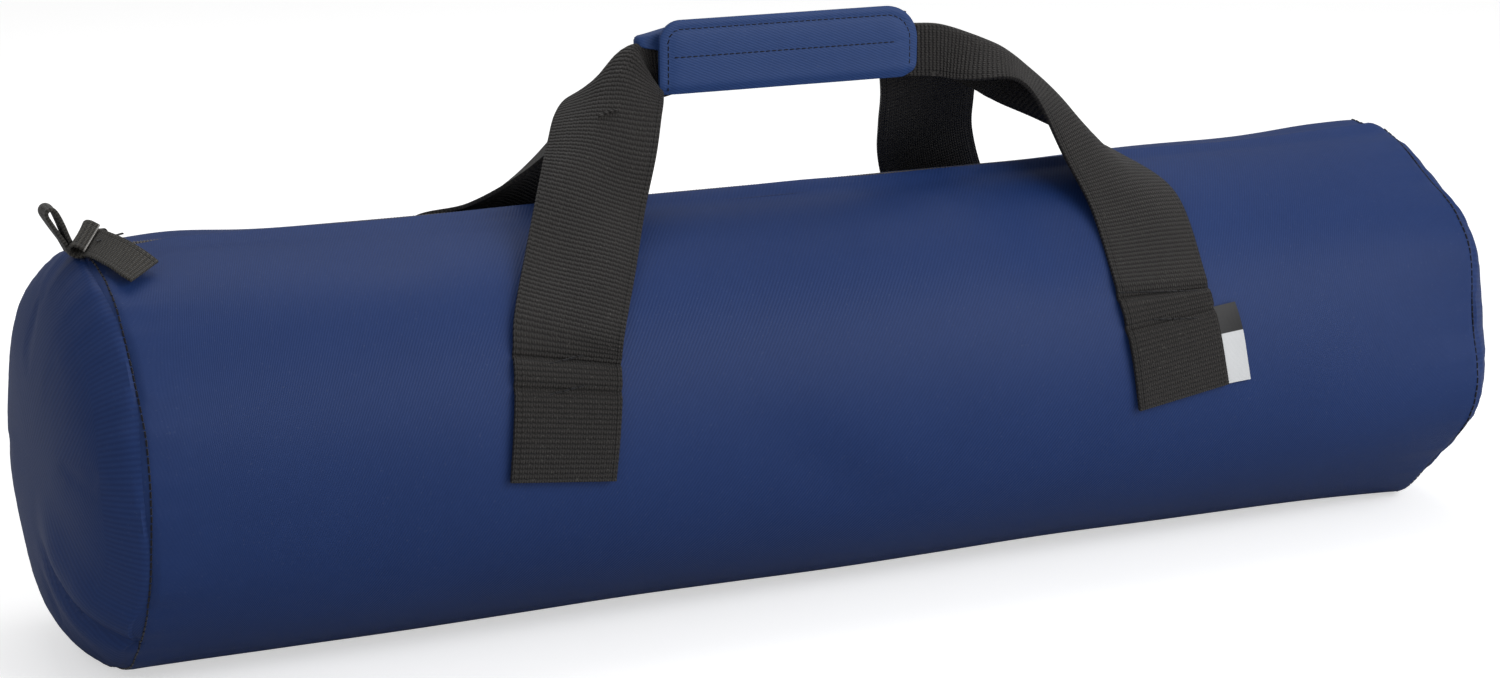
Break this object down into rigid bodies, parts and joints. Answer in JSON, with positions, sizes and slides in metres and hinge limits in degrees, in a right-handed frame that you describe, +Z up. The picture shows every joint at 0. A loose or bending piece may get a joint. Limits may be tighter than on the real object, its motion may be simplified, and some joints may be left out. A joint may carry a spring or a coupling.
{
  "type": "telescope carry case",
  "caption": "Padded cylindrical soft case for carrying a telescope: full-length zip along the top, domed fabric ends, and two webbing handles joined by a wrapped grip.",
  "frame": {"origin": "on the ground under the middle of the tube", "axes": "+X along the tube away from the end that holds the closed zip slider, -Y the side with the label and the grip's flap, +Z up"},
  "size_m": [0.73, 0.194, 0.2695],
  "materials": {
    "outer_fabric": "fine woven polyester, matt",
    "padding": "closed-cell foam",
    "lining": "smooth lining cloth",
    "webbing": "ribbed webbing, matt",
    "binding": "woven tape",
    "zip_tape": "woven tape",
    "zip_coil": "satin",
    "zip_metal": "satin black",
    "thread": "thread",
    "label": "satin ribbon, blank",
    "hook_and_loop": "hook and loop tape"
  },
  "bodies": {
    "bag": {"body_panel": "outer_fabric", "body_foam": "padding", "body_lining": "lining", "seam_binding_left": "binding", "seam_binding_right": "binding", "end_panel_left": "outer_fabric", "end_panel_right": "outer_fabric", "end_foam_left": "padding", "end_foam_right": "padding", "end_lining_left": "lining", "end_lining_right": "lining", "zipper_tape_front": "zip_tape", "zipper_tape_back": "zip_tape", "zipper_coil_front": "zip_coil", "zipper_coil_back": "zip_coil", "zipper_end_stops": "zip_metal", "front_strap_left_end": "webbing", "front_strap_right_end": "webbing", "back_strap_left_end": "webbing", "back_strap_right_end": "webbing", "strap_stitches": "thread", "side_label": "label"},
    "zip_slider": {"zip_slider_body": "zip_metal", "zip_slider_bail": "zip_metal"},
    "zip_pull": {"pull_tab": "webbing", "pull_tab_stitches": "thread"},
    "end_loop": {"zip_end_loop": "webbing"},
    "carry_handle": {"front_handle_strap": "webbing", "back_handle_strap": "webbing", "grip_wrap_foam": "padding", "grip_wrap_cover": "outer_fabric", "grip_loop_strip": "hook_and_loop"},
    "grip_flap": {"grip_flap_cover": "outer_fabric", "grip_flap_foam": "padding", "grip_flap_fold": "outer_fabric", "grip_hook_strip": "hook_and_loop"}
  },
  "joints": [
    {"name": "zip_slide", "type": "slide", "parent": "bag", "child": "zip_slider", "axis": [1, 0, 0], "range_m": [0, 0.666]},
    {"name": "pull_flip", "type": "hinge", "parent": "zip_slider", "child": "zip_pull", "pos_m": [-0.333, 0, 0.1939], "axis": [-1, 0, 0], "range_deg": [0, 148]},
    {"name": "end_loop_bend", "type": "hinge", "parent": "bag", "child": "end_loop", "pos_m": [-0.343, 0, 0.1878], "axis": [0, 1, 0], "range_deg": [-40, 20]},
    {"name": "handle_swing", "type": "hinge", "parent": "bag", "child": "carry_handle", "pos_m": [0, 0, 0.0925], "axis": [1, 0, 0], "range_deg": [-15, 15]},
    {"name": "grip_flap_open", "type": "hinge", "parent": "carry_handle", "child": "grip_flap", "pos_m": [0, -0.0098, 0.2367], "axis": [1, 0, 0], "range_deg": [0, 150]}
  ]
}
